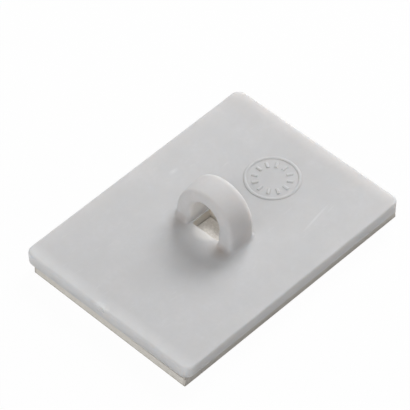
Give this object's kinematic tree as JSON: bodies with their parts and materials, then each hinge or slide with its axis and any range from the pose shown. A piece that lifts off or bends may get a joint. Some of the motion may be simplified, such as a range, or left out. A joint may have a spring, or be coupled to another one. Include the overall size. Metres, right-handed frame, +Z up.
{
  "type": "adhesive cable tie mount",
  "caption": "Rectangular moulded plate with a central loop that a cable tie threads through, on a double-sided foam pad with a peel-off liner, for holding cables to a flat surface.",
  "frame": {"origin": "under the middle of the plate, on the liner's underside, which lies on the surface", "axes": "+X along the plate's length and through the tie tunnel, +Y across the plate, +Z up through the loop"},
  "size_m": [0.0276, 0.02, 0.007],
  "materials": {
    "white_plastic": "satin natural white moulding",
    "foam": "closed-cell foam with a tacky adhesive face",
    "liner_paper": "silicone-coated release paper"
  },
  "bodies": {
    "root": {"moulded_base": "white_plastic", "foam_pad": "foam", "release_liner": "liner_paper"}
  },
  "joints": []
}
